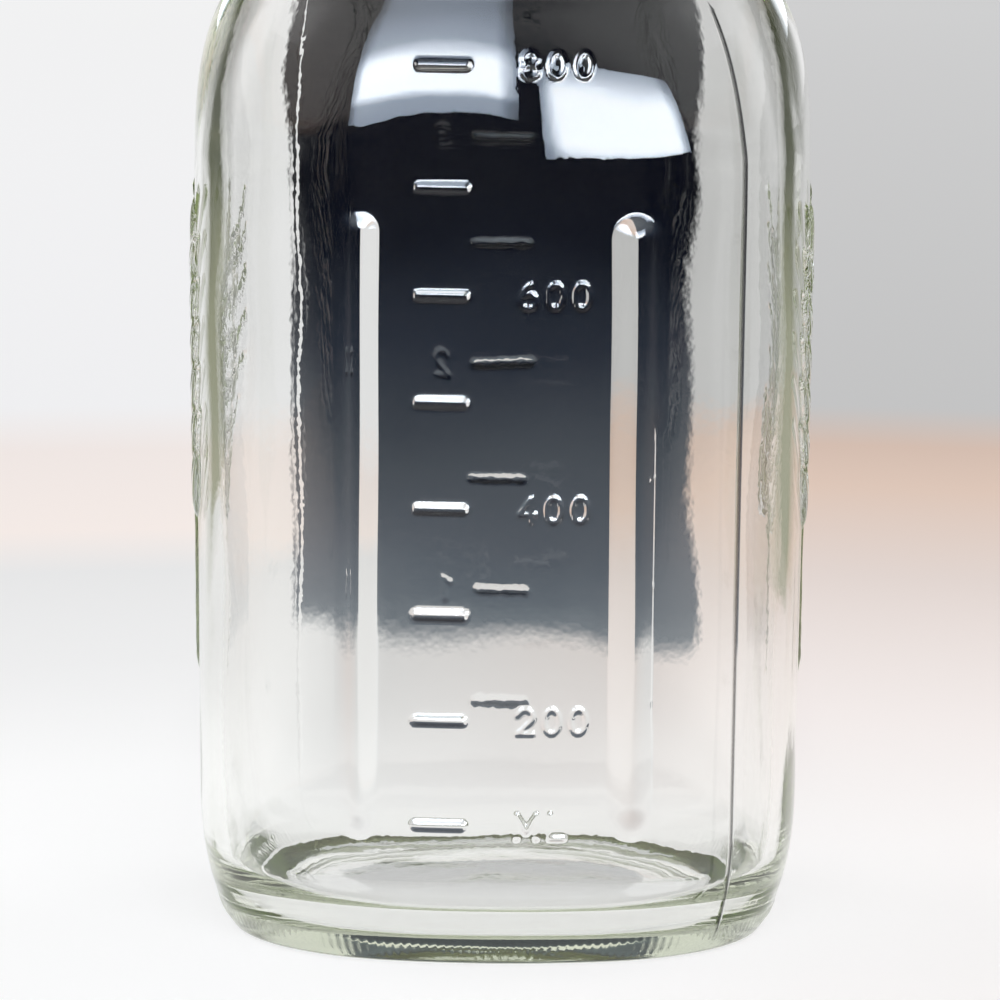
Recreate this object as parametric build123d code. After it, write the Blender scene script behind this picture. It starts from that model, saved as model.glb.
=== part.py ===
from build123d import *
import os
from math import atan2, cos, degrees, radians, sqrt

# A glass starter jar of about a quart with a two-part screw lid, in millimetres.
# Frame: origin in the middle of the foot, +Z up, the front scale faces -Y.

# Glass: the body, a rounded square with bowed sides
body_half = 46.8            # middle of a side, at the widest height
side_bow_radius = 84.0
corner_radius = 34.5
wall = 3.1
jar_height = 169.5          # foot to the top of the lip
heel_height = 22.0          # rounded part above the foot
heel_set_in = 0.95          # of a side at the heel's top, from its widest
foot_set_in = 4.25          # of the foot, from the heel's top
heel_curve_share = 2.6      # power of the heel's curve
shoulder_height = 30.0      # rounded part below the neck
shoulder_curve_share = 3.6  # power of the shoulder's curve
square_fade_height = 23.0   # in which the square turns round, below the neck

# Glass: the base
floor_height = 4.0
inner_heel_radius = 9.0
floor_dome_radius = 30.0
floor_dome_rise = 2.0
foot_width = 5.2            # flat ring that the jar stands on
push_up_depth = 3.0

# Glass: the neck and the finish that the band screws on
neck_height = 27.5          # shoulder to the top of the lip
plain_neck_height = 7.5     # of that, below the finish
finish_radius = 41.3
lip_width = 3.2
lip_round = 0.9
thread_depth = 1.5          # room that the thread takes round the finish
neck_step = 0.2             # plain neck over the finish
neck_cove = 0.5             # hollow curve from the shoulder into the neck
cove_height = 1.6
neck_bead_proud = 1.7
neck_bead_height = 3.6
neck_bead_round = 1.3

# Glass: the two long ribs on the front, up to the shoulder
rib_offset = 19.0           # from the middle of the side
rib_bottom = 20.0
rib_width = 5.4
rib_proud = 1.2

# Glass: the raised scale bars, 100 millilitres apart in front and half cups behind
bar_width = 1.9
bar_proud = 0.6
front_bar_length = 8.2
front_bar_offset = 8.7      # left of the middle
front_bar_first = 21.6
front_bar_last_rise = 3.44  # over the shoulder's start
front_bar_count = 7         # evenly spaced, from the first to the last
top_bar_rise = 21.2         # one more, high on the shoulder
back_bar_length = 10.2
back_bar_first = 24.5
back_bar_last_rise = 5.0
back_bar_count = 6

# Lid: the flat disc, and the sealing compound in its channel
lid_play = 1.2              # between lid and band, all round
lid_sheet = 0.4
channel_margin = 0.9        # of the channel inside the lip's bore
hem_depth = 1.1
panel_drop = 0.65           # of the middle below the channel
seal_height = 0.8
lip_clearance = 0.1         # between seal and lip

# Band: skirt, flange, knurl and rolled edge
thread_play = 0.4           # between the glass thread and the band
band_sheet = 0.4
band_foot_gap = 3.4         # from the neck's bead to the rolled edge
flange_width = 4.0          # over the lid
band_corner_radius = 1.6
band_clearance = 0.1        # between flange and lid
roll_radius = 0.95
knurl_count = 72
knurl_width = 1.9
knurl_proud = 0.35
knurl_height = 4.6
knurl_drop = 1.9            # below the band's top

# Cuts run this far past the faces that they meet, and embedded pieces sink in this far
overrun = 1.0
sink = 0.15

# Where the body's sections stand, as shares of the heel and of the shoulder, and in degrees
heel_shares = (0, 0.12, 0.28, 0.5, 0.75, 1)
shoulder_shares = (0, 0.25, 0.45, 0.6, 0.72, 0.82, 0.91, 1)
floor_turns = (0, 22, 45, 68, 90)

# Heights that follow
neck_start = jar_height - neck_height
shoulder_start = neck_start - shoulder_height
cove_top = neck_start + cove_height
cove_heights = (neck_start, neck_start + cove_height / 2, cove_top)
finish_start = neck_start + plain_neck_height
seal_foot = jar_height + lip_clearance
channel_inside = seal_foot + seal_height
lid_top = channel_inside + lid_sheet

# Half widths and radii that follow
heel_half = body_half - heel_set_in
foot_half = heel_half - foot_set_in
push_up_radius = foot_half - foot_width
neck_radius = finish_radius + neck_step
bore_radius = finish_radius - lip_width
band_inner_radius = finish_radius + thread_depth + thread_play
lid_radius = band_inner_radius - lid_play
channel_radius = bore_radius - channel_margin

# The rounded square: where its corner arcs are centred, and where its arcs meet
side_shift = side_bow_radius - body_half
arc_reach = side_bow_radius - corner_radius
corner_centre = (sqrt(2 * arc_reach**2 - side_shift**2) - side_shift) / 2
side_angle = degrees(atan2(corner_centre, corner_centre + side_shift))


def outside_half(height):
    """Half width across the sides at a height of the glass."""
    if height < heel_height:
        left = (1 - height / heel_height) ** heel_curve_share
        return heel_half - (heel_half - foot_half) * left
    if height < shoulder_start:
        climb = (height - heel_height) / (shoulder_start - heel_height)
        return heel_half + (body_half - heel_half) * climb
    if height < neck_start:
        rise = (height - shoulder_start) / shoulder_height
        return body_half - (body_half - neck_radius - neck_cove) * rise**shoulder_curve_share
    return neck_radius + neck_cove * (max(cove_top - height, 0) / cove_height) ** 2


def squareness(height):
    """One where the section is the full rounded square, zero where it is round."""
    fade = (neck_start - height) / square_fade_height
    return min(max(fade, 0), 1)


def section(height, half_width, square, inset=0):
    """Rounded square of eight tangent arcs, drawn in by the inset."""
    scale = half_width / body_half * square
    side = half_width + scale * side_shift
    corner = half_width - scale * (body_half - corner_radius)
    centre = scale * corner_centre
    arcs = []
    for quarter in range(4):
        side_arc = CenterArc((-scale * side_shift, 0), side - inset, -side_angle, 2 * side_angle)
        corner_arc = CenterArc((centre, centre), corner - inset, side_angle, 90 - 2 * side_angle)
        arcs += [Rot(0, 0, 90 * quarter) * arc for arc in (side_arc, corner_arc)]
    return Pos(0, 0, height) * make_face(arcs)


def upright(radius, low, high):
    """Cylinder on the jar's axis between two heights."""
    return Pos(0, 0, low) * Cylinder(radius, high - low, align=(Align.CENTER, Align.CENTER, Align.MIN))


def lofted(heights, inset_at=None, ruled=False):
    """Solid through the body's sections at the heights, drawn in where an inset is given."""
    sections = []
    for height in heights:
        inset = inset_at(height) if inset_at else 0
        sections.append(section(height, outside_half(height), squareness(height), inset))
    return loft(sections, ruled=ruled)


def body_outside():
    """Solid block of the body, from the foot to the neck."""
    heel = [share * heel_height for share in heel_shares]
    shoulder = [shoulder_start + share * shoulder_height for share in shoulder_shares]
    block = lofted(heel) + lofted((heel_height, shoulder_start), ruled=True)
    return block + lofted(shoulder) + lofted(cove_heights, ruled=True)


def inside_inset(height):
    """Glass thickness at a height of the hollow; it grows round the floor's edge."""
    left = 1 - (height - floor_height) / inner_heel_radius
    if left > 0:
        return wall + inner_heel_radius * (1 - sqrt(max(1 - left**2, 0)))
    rise = min(max(height - shoulder_start, 0) / shoulder_height, 1)
    return wall + (neck_radius - bore_radius - wall) * rise


def body_inside():
    """Solid block of the hollow, from the floor to above the lip."""
    floor_edge = floor_height + inner_heel_radius
    floor = [floor_height + inner_heel_radius * (1 - cos(radians(turn))) for turn in floor_turns]
    shoulder = [shoulder_start + share * shoulder_height for share in shoulder_shares]
    block = lofted(floor, inside_inset)
    block += lofted((floor_edge, (floor_edge + heel_height) / 2, heel_height), inside_inset)
    block += lofted((heel_height, shoulder_start), inside_inset, ruled=True)
    block += lofted(shoulder, inside_inset) + lofted(cove_heights, inside_inset, ruled=True)
    return block + upright(bore_radius, cove_top, jar_height + overrun)


def cap(radius, rise):
    """Ball whose top stands by rise over a circle of the radius, the circle at height zero."""
    ball = (radius**2 + rise**2) / (2 * rise)
    return Pos(0, 0, rise - ball) * Sphere(ball)


def neck_finish():
    """Solid neck: plain neck, carrying bead, finish wall and rounded lip."""
    neck = upright(neck_radius, cove_top, finish_start)
    bead = upright(neck_radius + neck_bead_proud, finish_start - neck_bead_height, finish_start)
    bead = fillet(bead.edges().filter_by(GeomType.CIRCLE), neck_bead_round)
    finish = upright(finish_radius, finish_start - sink, jar_height)
    finish = fillet(finish.edges().group_by(Axis.Z)[-1], lip_round)
    return neck + bead + finish


def side_point(offset, height, depth, facing):
    """Point inside the glass, by depth under a side's face; facing -1 is the front."""
    half = outside_half(height)
    scale = half / body_half * squareness(height)
    side = half + scale * side_shift
    reach = side - depth
    slope = offset / side
    return (reach * slope, facing * (reach * sqrt(1 - slope**2) - scale * side_shift), height)


def raised_bar(start, end, width, proud, facing):
    """Round-ended bar that stands proud of a side; start and end are offset and height."""
    radius = (width**2 / 4 + proud**2) / (2 * proud)
    tips = [Vector(*side_point(*tip, radius - proud, facing)) for tip in (start, end)]
    run = Plane(origin=tips[0], z_dir=tips[1] - tips[0])
    length = (tips[1] - tips[0]).length
    bar = run * Cylinder(radius, length, align=(Align.CENTER, Align.CENTER, Align.MIN))
    for tip in tips:
        bar += Pos(*tip) * Sphere(radius)
    return bar


def level_bar(middle, height, length, facing):
    """One bar of a scale, level across the side."""
    inset = (length - bar_width) / 2
    return raised_bar((middle - inset, height), (middle + inset, height), bar_width, bar_proud, facing)


def bar_heights(first, last, count):
    """Evenly spaced heights of a scale's bars."""
    return [first + (last - first) * step / (count - 1) for step in range(count)]


def side_relief():
    """The front's ribs and the scale bars of both faces."""
    relief = []
    for offset in (-rib_offset, rib_offset):
        low = (offset, rib_bottom + rib_width / 2)
        high = (offset, shoulder_start - rib_width / 2)
        relief.append(raised_bar(low, high, rib_width, rib_proud, -1))
    front = bar_heights(front_bar_first, shoulder_start + front_bar_last_rise, front_bar_count)
    for height in front + [shoulder_start + top_bar_rise]:
        relief.append(level_bar(-front_bar_offset, height, front_bar_length, -1))
    for height in bar_heights(back_bar_first, shoulder_start + back_bar_last_rise, back_bar_count):
        relief.append(level_bar(0, height, back_bar_length, 1))
    return relief


def jar_body():
    """The glass: body, neck, relief, hollow, domed floor and push-up."""
    hollow = body_inside() - Pos(0, 0, floor_height) * cap(floor_dome_radius, floor_dome_rise)
    glass = body_outside() + neck_finish() + side_relief()
    glass = glass - hollow
    return glass - cap(push_up_radius, push_up_depth)


def turned(points):
    """Ring turned round the jar's axis from an outline of radius and height points."""
    return revolve(make_face(Plane.XZ * Polyline(*points, close=True)), Axis.Z)


def lid_disc():
    """Flat lid: hem, channel over the lip, step and sunk panel."""
    outline = [
        (0, lid_top - panel_drop),
        (channel_radius - panel_drop, lid_top - panel_drop),
        (channel_radius, lid_top),
        (lid_radius, lid_top),
        (lid_radius, lid_top - hem_depth),
        (lid_radius - lid_sheet, lid_top - hem_depth),
        (lid_radius - lid_sheet, channel_inside),
        (channel_radius + lid_sheet, channel_inside),
        (channel_radius + lid_sheet - panel_drop, channel_inside - panel_drop),
        (0, channel_inside - panel_drop),
    ]
    return turned(outline)


def lid_seal():
    """Ring of sealing compound that fills the channel over the lip."""
    inner = channel_radius + lid_sheet
    outer = lid_radius - lid_sheet
    return turned([(inner, seal_foot), (outer, seal_foot), (outer, channel_inside), (inner, channel_inside)])


def screw_band():
    """Band: flange over the lid, knurled skirt and rolled lower edge."""
    under = lid_top + band_clearance
    top = under + band_sheet
    outer = band_inner_radius + band_sheet
    bottom = finish_start + band_foot_gap
    block = upright(outer, bottom, top)
    block = fillet(block.edges().group_by(Axis.Z)[-1], band_corner_radius)
    room = upright(band_inner_radius, bottom - overrun, under)
    room = fillet(room.edges().group_by(Axis.Z)[-1], band_corner_radius - band_sheet)
    opening = upright(lid_radius - flange_width, bottom, top + overrun)
    roll = Pos(0, 0, bottom + roll_radius) * Torus(band_inner_radius + roll_radius, roll_radius)
    flute = Polyline(
        (outer - sink, -knurl_width / 2),
        (outer + knurl_proud, -knurl_width / 5),
        (outer + knurl_proud, knurl_width / 5),
        (outer - sink, knurl_width / 2),
        close=True,
    )
    flute = extrude(Pos(0, 0, top - knurl_drop) * make_face(flute), -knurl_height)
    flutes = [Rot(0, 0, 360 / knurl_count * turn) * flute for turn in range(knurl_count)]
    return (block - room - opening) + roll + flutes


os.makedirs("parts", exist_ok=True)
export_step(jar_body(), "parts/jar_body.step")
export_step(lid_disc(), "parts/lid_disc.step")
export_step(lid_seal(), "parts/lid_seal.step")
export_step(screw_band(), "parts/screw_band.step")
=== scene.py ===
"""Looks of a wide-mouth glass starter jar with a two-part screw lid.

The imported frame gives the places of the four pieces. Every length here is in metres unless its
name says otherwise, +Z is up and the face with the millilitre scale looks along -Y.
"""

from __future__ import annotations

import logging
import math
from dataclasses import dataclass, field
from enum import Enum
from typing import Sequence

import bmesh
import bpy
import numpy as np
from mathutils import Matrix, Vector

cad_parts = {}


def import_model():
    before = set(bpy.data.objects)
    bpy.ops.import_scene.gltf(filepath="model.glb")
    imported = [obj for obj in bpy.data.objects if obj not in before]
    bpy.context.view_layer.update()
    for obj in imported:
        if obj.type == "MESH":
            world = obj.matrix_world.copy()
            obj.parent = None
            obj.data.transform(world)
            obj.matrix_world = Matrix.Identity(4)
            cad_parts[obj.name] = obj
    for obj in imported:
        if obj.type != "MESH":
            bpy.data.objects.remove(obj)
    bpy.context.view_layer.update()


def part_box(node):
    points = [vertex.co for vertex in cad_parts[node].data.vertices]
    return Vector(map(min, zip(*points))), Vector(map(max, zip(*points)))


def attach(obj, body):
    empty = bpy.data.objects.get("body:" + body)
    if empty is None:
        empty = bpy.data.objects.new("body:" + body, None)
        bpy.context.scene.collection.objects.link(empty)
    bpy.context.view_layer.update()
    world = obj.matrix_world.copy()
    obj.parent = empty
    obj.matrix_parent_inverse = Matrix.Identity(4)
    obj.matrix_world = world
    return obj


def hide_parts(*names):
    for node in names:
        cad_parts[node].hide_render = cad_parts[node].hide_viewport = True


log = logging.getLogger("starter_jar")

MM = 0.001
WELD_DISTANCE = MM / 1000
ON_AXIS = 0.1 * MM
ORIGIN = (0.0, 0.0, 0.0)
UP = (0.0, 0.0, 1.0)
PAINTED_SEAM_SHADE_ATTRIBUTE = "painted_seam_shade"
RADIUS_ATTRIBUTE = "spun_radius"
STROKE_STEP_DEGREES = 24
Socket = bpy.types.NodeSocket
Point = tuple[float, float]
Profile = list[Point]
Colour = tuple[float, float, float]
Tones = tuple[tuple[float, Colour], ...]


class Side(Enum):
    """The four sides of the body, in quarter turns about Z from the front."""

    FRONT = 0
    RIGHT = 1
    BACK = 2
    LEFT = 3

    def across_and_out(self, x: np.ndarray, y: np.ndarray) -> tuple[np.ndarray, np.ndarray]:
        """Coordinates as seen by someone who faces this side.

        Args:
            x: Points' X in the frame.
            y: Points' Y in the frame.

        Returns:
            The distance to the right of the side's middle, and the distance out from the axis.
        """
        turns = {Side.FRONT: (x, -y), Side.RIGHT: (y, x), Side.BACK: (-x, y), Side.LEFT: (-y, -x)}
        return turns[self]


def ridge(distance: np.ndarray, half_width: float, power: float) -> np.ndarray:
    """Height of a soft-shouldered ridge, one on its crest and zero past its half width."""
    inside = np.clip(1.0 - (distance / half_width) ** 2, 0.0, 1.0)
    return inside**power


def smooth_step(value: np.ndarray, low: float, high: float) -> np.ndarray:
    """Eased step from zero at low to one at high."""
    share = np.clip((value - low) / (high - low), 0.0, 1.0)
    return share * share * (3.0 - 2.0 * share)


def segment_distance(points: np.ndarray, start: np.ndarray, end: np.ndarray) -> np.ndarray:
    """Distance of flat points from a segment.

    Args:
        points: Array of shape (n, 2).
        start: One end of the segment.
        end: The other end.

    Returns:
        One distance for each point.
    """
    run = end - start
    along = np.clip(((points - start) @ run) / max(float(run @ run), 1e-18), 0.0, 1.0)
    return np.linalg.norm(points - (start + along[:, None] * run), axis=1)


def spun(profile: Profile, steps: int) -> bmesh.types.BMesh:
    """Spins a profile of radius and height points once round the jar's axis.

    Args:
        profile: The outline; its ends may lie on the axis, or it may be closed on itself.
        steps: Number of faces in a full turn.

    Returns:
        A closed bmesh whose faces point outwards.
    """
    bm = bmesh.new()
    verts = [bm.verts.new((radius, 0.0, height)) for radius, height in profile]
    edges = [bm.edges.new(pair) for pair in zip(verts, verts[1:])]
    if profile[0][0] > ON_AXIS:
        edges.append(bm.edges.new((verts[-1], verts[0])))
    bmesh.ops.spin(
        bm,
        geom=verts + edges,
        cent=ORIGIN,
        axis=UP,
        angle=math.tau,
        steps=steps,
        use_merge=True,
    )
    bmesh.ops.remove_doubles(bm, verts=bm.verts, dist=WELD_DISTANCE)
    bmesh.ops.recalc_face_normals(bm, faces=bm.faces)
    return bm


def arc(centre: Point, radius: float, start: float, end: float, count: int) -> Profile:
    """Points of a profile's arc, its angles in degrees from the outward direction towards up."""
    turns = [math.radians(start + (end - start) * step / count) for step in range(count + 1)]
    return [(centre[0] + radius * math.cos(t), centre[1] + radius * math.sin(t)) for t in turns]


def line(start: Point, end: Point, step: float) -> Profile:
    """Evenly spaced points of a straight stretch.

    Args:
        start: The first point.
        end: The end of the stretch, which gets no point.
        step: Distance between the points, as near as they divide evenly.

    Returns:
        The points.
    """
    count = max(1, round(math.dist(start, end) / step))
    shares = [index / count for index in range(count)]
    run, climb = end[0] - start[0], end[1] - start[1]
    return [(start[0] + run * share, start[1] + climb * share) for share in shares]


def finished(name: str, bm: bmesh.types.BMesh, material: bpy.types.Material) -> bpy.types.Object:
    """Makes a smooth-shaded object at the origin from a bmesh.

    Args:
        name: The piece's name.
        bm: Its mesh, which is freed.
        material: Its finish.

    Returns:
        The new object, linked to the scene.
    """
    mesh = bpy.data.meshes.new(name)
    bm.to_mesh(mesh)
    bm.free()
    mesh.shade_smooth()
    mesh.materials.append(material)
    piece = bpy.data.objects.new(name, mesh)
    bpy.context.scene.collection.objects.link(piece)
    return piece


def vertex_array(mesh: bpy.types.Mesh) -> np.ndarray:
    """Reads a mesh's vertices.

    Args:
        mesh: The mesh.

    Returns:
        Their places as an array of shape (n, 3).
    """
    places = np.empty(len(mesh.vertices) * 3)
    mesh.vertices.foreach_get("co", places)
    return places.reshape(-1, 3)


def move_vertices(mesh: bpy.types.Mesh, places: np.ndarray) -> None:
    """Puts the mesh's vertices at the places."""
    mesh.vertices.foreach_set("co", places.astype(np.float32).ravel())
    mesh.update()


def towards(bearing: float, rise: float) -> Vector:
    """Unit vector from the jar to a bearing, rightwards from the front, and a rise, in degrees."""
    turn, up = math.radians(bearing), math.radians(rise)
    return Vector((math.sin(turn) * math.cos(up), -math.cos(turn) * math.cos(up), math.sin(up)))


def hide_from(thing: bpy.types.Object, *rays: str) -> None:
    """Hides an object from kinds of rays, such as camera or shadow."""
    for ray in rays:
        setattr(thing, f"visible_{ray}", False)


class NodeTree:
    """A material's or a world's nodes, added and linked by short calls."""

    def __init__(self, owner: bpy.types.Material | bpy.types.World) -> None:
        """Empties the owner's node tree and keeps it.

        Args:
            owner: What the nodes dress.
        """
        owner.use_nodes = True
        self.tree = owner.node_tree
        self.tree.nodes.clear()

    def add(self, kind: str, inputs: dict | None = None, **settings: object) -> bpy.types.Node:
        """Adds a node.

        Args:
            kind: Blender's name of the node type, without the ShaderNode in front.
            inputs: Socket names or numbers, each with a value or an output to link.
            settings: The node's own properties.

        Returns:
            The node.
        """
        node = self.tree.nodes.new("ShaderNode" + kind)
        for name, value in settings.items():
            setattr(node, name, value)
        for socket, value in (inputs or {}).items():
            if isinstance(value, Socket):
                self.tree.links.new(value, node.inputs[socket])
            else:
                node.inputs[socket].default_value = value
        return node

    def coordinates(self, kind: str) -> Socket:
        """Coordinates of a kind, such as Object or UV."""
        return self.add("TexCoord").outputs[kind]

    def parts(self, vector: Socket) -> bpy.types.NodeOutputs:
        """A vector's X, Y and Z."""
        return self.add("SeparateXYZ", {"Vector": vector}).outputs

    def calc(self, operation: str, first: object, second: object = 0.0) -> Socket:
        """Result of an operation on two values, each a number or an output."""
        return self.add("Math", {0: first, 1: second}, operation=operation).outputs[0]

    def scaled(self, vector: Socket, factor: object) -> Socket:
        """A vector or a colour times a factor."""
        return self.add("VectorMath", {0: vector, "Scale": factor}, operation="SCALE").outputs[0]

    def mapped(
        self,
        value: Socket,
        low: float,
        high: float,
        start: float = 0.0,
        end: float = 1.0,
        kind: str = "LINEAR",
    ) -> Socket:
        """Maps a value from one range onto another, and keeps it there.

        Args:
            value: What is mapped.
            low: Where it gives the start.
            high: Where it gives the end.
            start: The result at low.
            end: The result at high.
            kind: Blender's name of the way between them.

        Returns:
            The result's output.
        """
        inputs = {0: value, 1: low, 2: high, 3: start, 4: end}
        return self.add("MapRange", inputs, interpolation_type=kind).outputs[0]

    def eased(
        self, value: Socket, low: float, high: float, start: float = 0.0, end: float = 1.0
    ) -> Socket:
        """Maps a value as mapped does, gently at both ends."""
        return self.mapped(value, low, high, start, end, "SMOOTHSTEP")

    def noise(self, place: Socket, scale: float, detail: float) -> Socket:
        """Value of a noise pattern."""
        inputs = {"Vector": place, "Scale": scale, "Detail": detail}
        return self.add("TexNoise", inputs).outputs[0]

    def bump(
        self, height: Socket, strength: float, distance: float, normal: Socket | None = None
    ) -> Socket:
        """Adds a bump.

        Args:
            height: The pattern that stands out.
            strength: Share of it that shows.
            distance: How far it stands out.
            normal: Another bump that it lies on.

        Returns:
            The normal's output.
        """
        inputs = {"Height": height, "Strength": strength, "Distance": distance}
        if normal is not None:
            inputs["Normal"] = normal
        return self.add("Bump", inputs).outputs[0]

    def ramp(self, share: Socket, stops: Sequence[tuple[float, Colour]]) -> Socket:
        """Adds a colour ramp.

        Args:
            share: The output that drives it.
            stops: Positions from zero to one, each with its colour.

        Returns:
            The colour's output.
        """
        node = self.add("ValToRGB", {0: share})
        elements = node.color_ramp.elements
        elements.remove(elements[1])
        elements[0].position, elements[0].color = stops[0][0], (*stops[0][1], 1.0)
        for position, colour in stops[1:]:
            elements.new(position).color = (*colour, 1.0)
        return node.outputs[0]

    def mixed(self, share: Socket, first: object, second: object) -> Socket:
        """Mixes two colours.

        Args:
            share: How much of the second shows.
            first: A colour or an output.
            second: A colour or an output.

        Returns:
            The mixed colour's output.
        """
        mix = self.add("Mix", {0: share}, data_type="RGBA")
        for index, colour in ((6, first), (7, second)):
            if isinstance(colour, Socket):
                self.tree.links.new(colour, mix.inputs[index])
            else:
                mix.inputs[index].default_value = (*colour, 1.0)
        return mix.outputs[2]

    def output(self, kind: str, surface: Socket, volume: Socket | None = None) -> None:
        """Adds the output node.

        Args:
            kind: OutputMaterial or OutputWorld.
            surface: The shader on the surface.
            volume: The shader inside, if there is one.
        """
        inputs = {"Surface": surface}
        if volume is not None:
            inputs["Volume"] = volume
        self.add(kind, inputs)


@dataclass(frozen=True)
class GlassFinish:
    """Clear blown soda-lime glass, sage green where light runs far in it."""

    index: float = 1.52
    roughness: float = 0.0
    tint: Colour = (0.78, 0.83, 0.64)
    tint_density: float = 15.0
    ripple_scale: float = 55.0
    ripple_strength: float = 0.35
    ripple_height: float = 0.8 * MM
    upright_draw: float = 0.3
    peel_scale: float = 720.0
    peel_height: float = 0.005 * MM
    # Glass colour where the painted shade along the front mould seam is darkest.
    painted_seam_darkness: float = 0.05

    def material(self) -> bpy.types.Material:
        """Builds the glass: ripple, fine orange peel, a dark line of painted shade along the front
        mould seam, and tint in depth.

        Returns:
            The material.
        """
        material = bpy.data.materials.new("blown_glass")
        nodes = NodeTree(material)
        place = nodes.coordinates("Object")
        drawn = nodes.add("Mapping", {"Vector": place, "Scale": (1.0, 1.0, self.upright_draw)})
        ripple = nodes.noise(drawn.outputs[0], self.ripple_scale, 1.5)
        wavy = nodes.bump(ripple, self.ripple_strength, self.ripple_height)
        peel = nodes.noise(place, self.peel_scale, 1.0)
        # Painted shade: the glass colour is darkened along the front mould seam to draw it as a
        # dark line.
        seam = nodes.add("Attribute", attribute_name=PAINTED_SEAM_SHADE_ATTRIBUTE).outputs["Fac"]
        shader = nodes.add(
            "BsdfPrincipled",
            {
                "Base Color": nodes.mapped(seam, 0.0, 1.0, 1.0, self.painted_seam_darkness),
                "Roughness": self.roughness,
                "IOR": self.index,
                "Transmission Weight": 1.0,
                "Normal": nodes.bump(peel, 1.0, self.peel_height, wavy),
            },
        )
        depth = nodes.add(
            "VolumeAbsorption", {"Color": (*self.tint, 1.0), "Density": self.tint_density}
        )
        nodes.output("OutputMaterial", shader.outputs[0], depth.outputs[0])
        return material


@dataclass(frozen=True)
class TinplateFinish:
    """Bright rolled tinplate with fine scratches and dull specks."""

    name: str
    colour: Colour
    dull_colour: Colour
    roughness: float = 0.24
    rough_spread: float = 0.16
    cloud_scale: float = 42.0
    cloud_edges: tuple[float, float] = (0.42, 0.68)
    speck_scale: float = 900.0
    scratch_scale: float = 3120.0
    scratch_strength: float = 0.12
    scratch_depth: float = 0.04 * MM

    def material(self) -> bpy.types.Material:
        """Builds the metal; its scratches run round the jar's axis.

        Returns:
            The material.
        """
        material = bpy.data.materials.new(self.name)
        nodes = NodeTree(material)
        place = nodes.coordinates("Object")
        flat = nodes.add("VectorMath", {0: place, 1: (1.0, 1.0, 0.0)}, operation="MULTIPLY")
        radius = nodes.add("VectorMath", {0: flat.outputs[0]}, operation="LENGTH")
        around = {"X": radius.outputs["Value"], "Y": 0.0, "Z": nodes.parts(place)["Z"]}
        turned = nodes.add("CombineXYZ", around)
        rings = nodes.noise(turned.outputs[0], self.scratch_scale, 3.0)
        cloud = nodes.noise(place, self.cloud_scale, 4.0)
        specks = nodes.add("TexVoronoi", {"Vector": place, "Scale": self.speck_scale})
        wear = nodes.mapped(cloud, *self.cloud_edges)
        roughest = self.roughness + self.rough_spread
        grain = nodes.calc("ADD", rings, specks.outputs[0])
        shader = nodes.add(
            "BsdfPrincipled",
            {
                "Base Color": nodes.mixed(wear, self.colour, self.dull_colour),
                "Metallic": 1.0,
                "Roughness": nodes.mapped(rings, 0.0, 1.0, self.roughness, roughest),
                "Normal": nodes.bump(grain, self.scratch_strength, self.scratch_depth),
            },
        )
        nodes.output("OutputMaterial", shader.outputs[0])
        return material


@dataclass(frozen=True)
class CompoundFinish:
    """Moulded sealing compound, matte and slightly mottled."""

    colour: Colour = (0.42, 0.17, 0.09)
    pale_colour: Colour = (0.52, 0.24, 0.14)
    roughness: float = 0.62
    mottle_scale: float = 320.0
    mottle_strength: float = 0.3
    mottle_depth: float = 0.2 * MM

    def material(self) -> bpy.types.Material:
        """Builds the compound.

        Returns:
            The material.
        """
        material = bpy.data.materials.new("sealing_compound")
        nodes = NodeTree(material)
        mottle = nodes.noise(nodes.coordinates("Object"), self.mottle_scale, 5.0)
        shader = nodes.add(
            "BsdfPrincipled",
            {
                "Base Color": nodes.mixed(mottle, self.colour, self.pale_colour),
                "Roughness": self.roughness,
                "Normal": nodes.bump(mottle, self.mottle_strength, self.mottle_depth),
            },
        )
        nodes.output("OutputMaterial", shader.outputs[0])
        return material


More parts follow.
